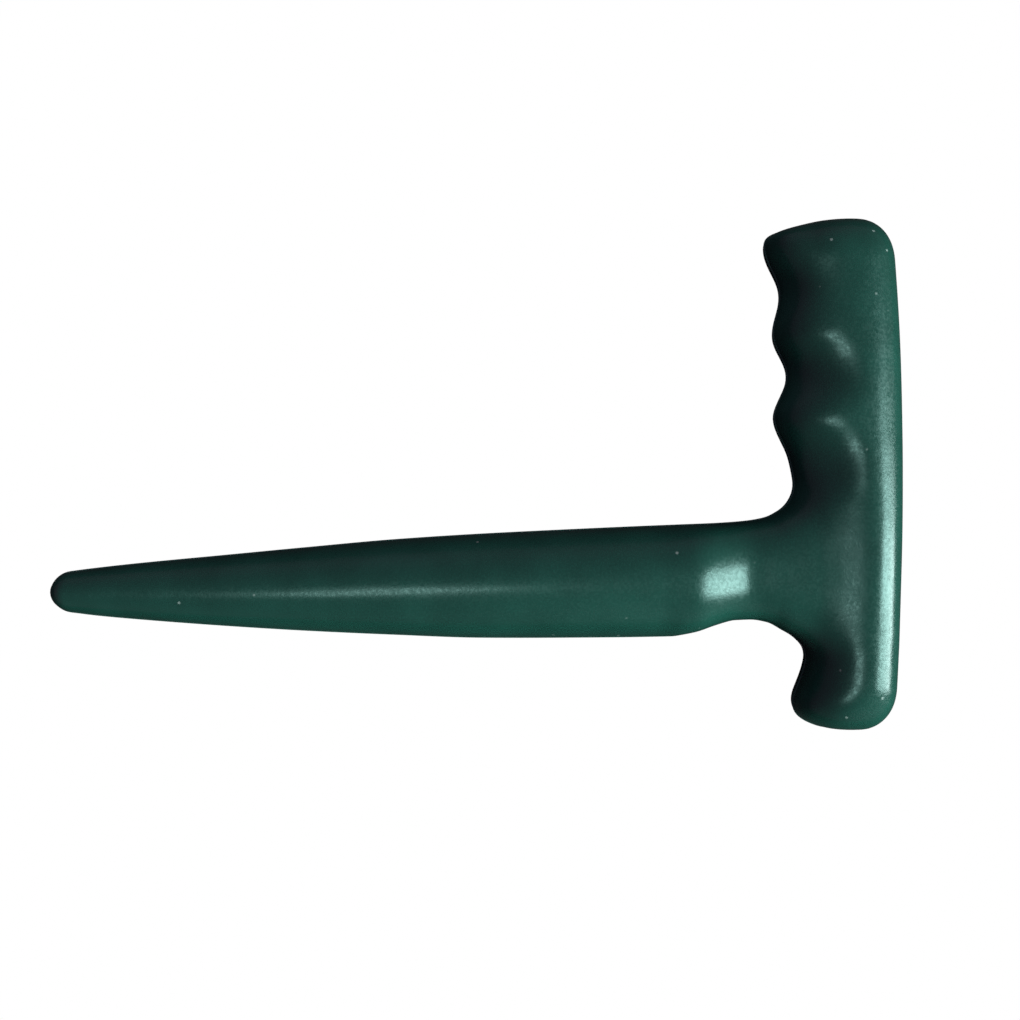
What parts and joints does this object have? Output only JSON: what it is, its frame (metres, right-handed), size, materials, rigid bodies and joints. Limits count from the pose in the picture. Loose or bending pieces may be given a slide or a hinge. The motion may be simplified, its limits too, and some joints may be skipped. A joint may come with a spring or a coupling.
{
  "type": "hand dibber",
  "caption": "Hand dibber for making planting holes: a tapered round spike on an off-centre T-handle with finger grooves, welded from two hollow plastic shells.",
  "frame": {"origin": "under the middle of the bounding box, on the surface that the back of the handle rests on", "axes": "+X from the tip of the spike to the palm side of the handle, +Y along the handle towards its long arm, +Z out of the front shell, at a right angle to the parting plane"},
  "size_m": [0.2, 0.1194, 0.027],
  "materials": {
    "green_plastic": "dark green satin moulded polypropylene with a fine grain",
    "weld_plastic": "the same green plastic, remelted into a thin raised line"
  },
  "bodies": {
    "root": {"front_shell": "green_plastic", "back_shell": "green_plastic", "weld_seam": "weld_plastic"}
  },
  "joints": []
}
